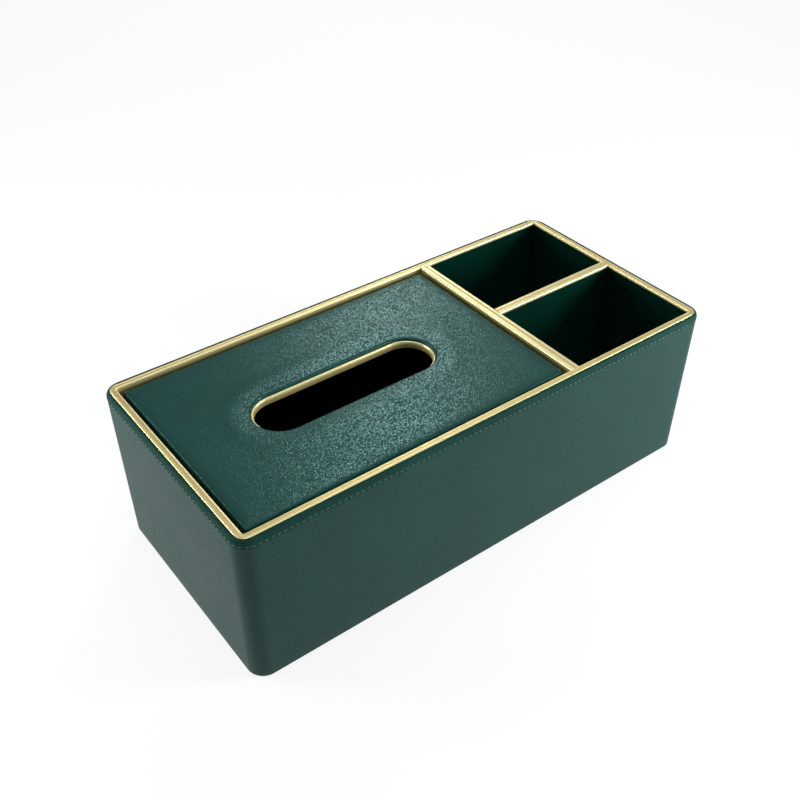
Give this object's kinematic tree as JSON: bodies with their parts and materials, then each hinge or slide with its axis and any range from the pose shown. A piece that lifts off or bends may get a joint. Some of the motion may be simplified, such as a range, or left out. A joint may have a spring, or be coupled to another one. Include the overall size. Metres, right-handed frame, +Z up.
{
  "type": "tissue box",
  "caption": "Rectangular leather-wrapped tissue box with a gold-coloured trim frame, a padded lift-out lid with a rounded slot, and open side-by-side compartments at one end.",
  "frame": {"origin": "middle of the underside, on the surface it stands on", "axes": "+X along the long side towards the open compartments, +Y across the box, +Z up"},
  "size_m": [0.281, 0.1312, 0.09],
  "materials": {
    "board": "raw fibreboard",
    "covered_board": "fibreboard faced with dark lining paper",
    "green_leather": "fine grain, satin",
    "lid_leather": "pebble grain, satin",
    "gold_trim": "satin",
    "green_lining": "suede",
    "black_lining": "suede",
    "foam": "open-cell foam sheet",
    "felt": "felt"
  },
  "bodies": {
    "case": {"base_board": "board", "front_board": "board", "back_board": "board", "left_end_board": "board", "right_end_board": "board", "corner_post_back_right": "board", "corner_post_back_left": "board", "corner_post_front_left": "board", "corner_post_front_right": "board", "partition_board": "board", "divider_board": "board", "ledge_board_front": "covered_board", "ledge_board_back": "covered_board", "ledge_board_left": "covered_board", "ledge_board_right": "covered_board", "chamber_lining": "black_lining", "front_compartment_lining": "green_lining", "back_compartment_lining": "green_lining", "side_skin": "green_leather", "rim_band": "green_leather", "base_felt": "felt", "top_frame": "gold_trim", "crossbar": "gold_trim", "divider_bar": "gold_trim"},
    "lid": {"lid_board": "board", "lid_foam": "foam", "lid_leather": "lid_leather", "slot_ring": "gold_trim", "lid_backing": "black_lining"}
  },
  "joints": [
    {"name": "lid_lift", "type": "slide", "parent": "case", "child": "lid", "axis": [0, 0, 1], "range_m": [0, 0.06]}
  ]
}
